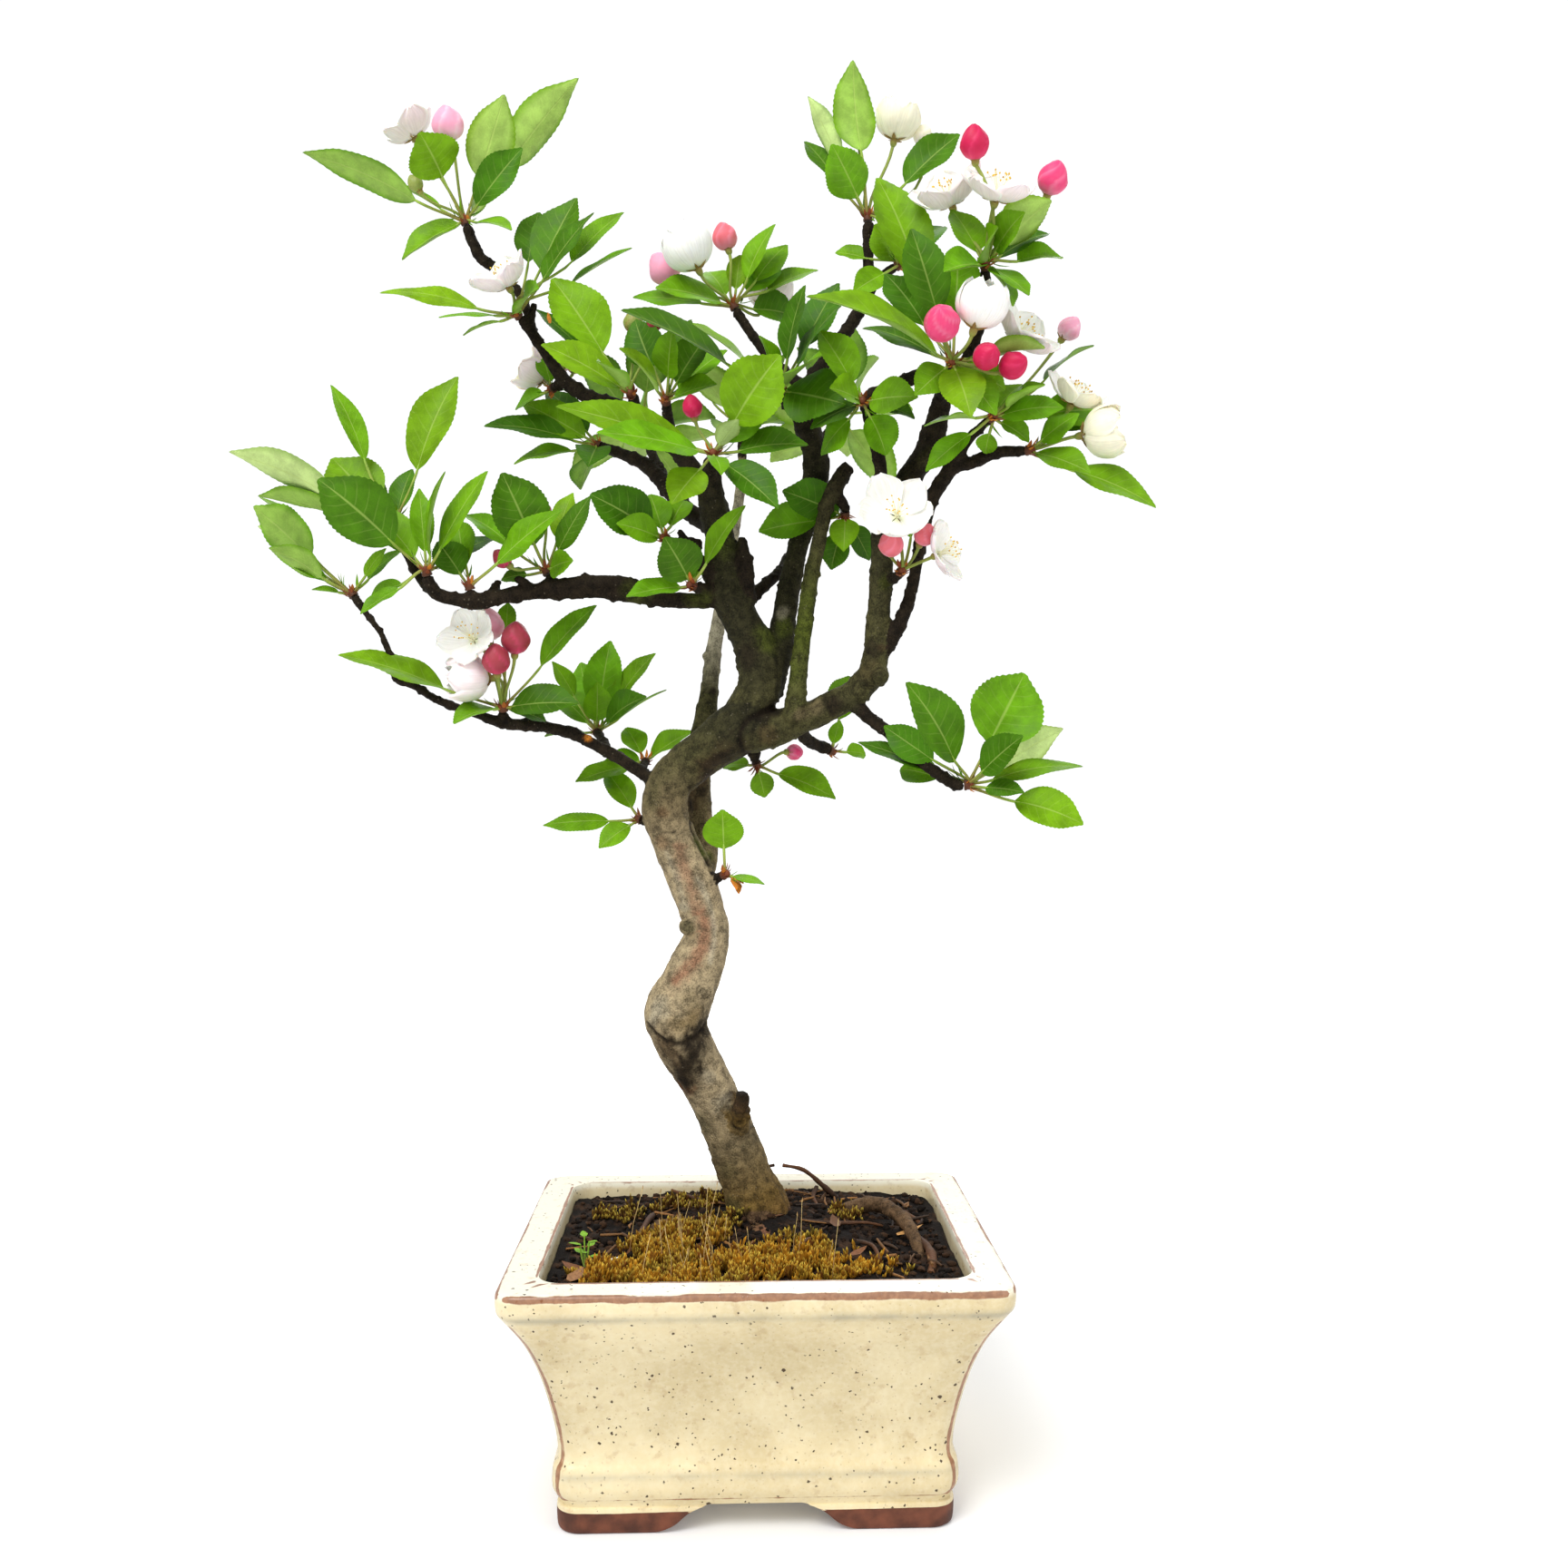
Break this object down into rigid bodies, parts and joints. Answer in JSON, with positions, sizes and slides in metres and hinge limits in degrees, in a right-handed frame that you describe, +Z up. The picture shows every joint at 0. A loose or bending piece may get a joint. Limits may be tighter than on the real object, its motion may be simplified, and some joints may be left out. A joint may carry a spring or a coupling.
{
  "type": "crabapple bonsai in flower",
  "caption": "Crabapple bonsai in flower: a gnarled trunk, rising limbs and a long left arm, leafy sprays with white blooms and pink buds, in a cream glazed pot with a flared lip",
  "frame": {"origin": "middle of the box round the whole part, at the bottom of the feet", "axes": "+Z up from the pot's feet to the crown; the pot's long side along X, its front face and the tree's viewing side towards -Y"},
  "size_m": [0.3846, 0.2173, 0.6192],
  "materials": {
    "pot_glaze": "gloss",
    "soil": "matte",
    "mesh_plastic": "matte",
    "moss": "matte",
    "bark": "matte",
    "leaf": "satin",
    "petal": "matte"
  },
  "bodies": {
    "root": {"pot": "pot_glaze", "soil": "soil", "drain_mesh_left": "mesh_plastic", "drain_mesh_right": "mesh_plastic", "moss_front": "moss", "moss_by_trunk": "moss", "trunk_and_branches": "bark", "spray_top_left": "leaf", "spray_fork": "leaf", "spray_mid_left": "leaf", "spray_shoulder": "leaf", "spray_crook": "leaf", "spray_crown": "leaf", "spray_centre": "leaf", "spray_front": "leaf", "spray_elbow": "leaf", "spray_armpit": "leaf", "spray_arm_mid": "leaf", "spray_arm_low": "leaf", "spray_arm_tip": "leaf", "spray_far_left": "leaf", "spray_low_tip": "leaf", "spray_blossom_left": "leaf", "spray_low_back": "leaf", "spray_low_inner": "leaf", "spray_trunk_left": "leaf", "spray_low_right": "leaf", "spray_fork_low": "leaf", "spray_fork_under": "leaf", "spray_trunk_right": "leaf", "spray_top_right": "leaf", "spray_top_inner": "leaf", "spray_near_right": "leaf", "spray_right_shoot": "leaf", "spray_right_top": "leaf", "spray_far_right": "leaf", "spray_cut_limb": "leaf", "spray_inner": "leaf", "spray_near_blossom": "leaf", "spray_left_inner": "leaf", "spray_back_left": "leaf", "spray_back_mid": "leaf", "spray_back_right": "leaf", "bloom_top_left": "petal", "bloom_fork": "petal", "bloom_mid_left": "petal", "bloom_crown": "petal", "bloom_crown_right": "petal", "bloom_left": "petal", "bloom_left_low": "petal", "bloom_top_right": "petal", "bloom_high_right": "petal", "bloom_high_mid": "petal", "bloom_near_globe": "petal", "bloom_near_right": "petal", "bloom_far_right": "petal", "bloom_far_low": "petal", "bloom_near": "petal", "bloom_near_side": "petal"}
  },
  "joints": []
}
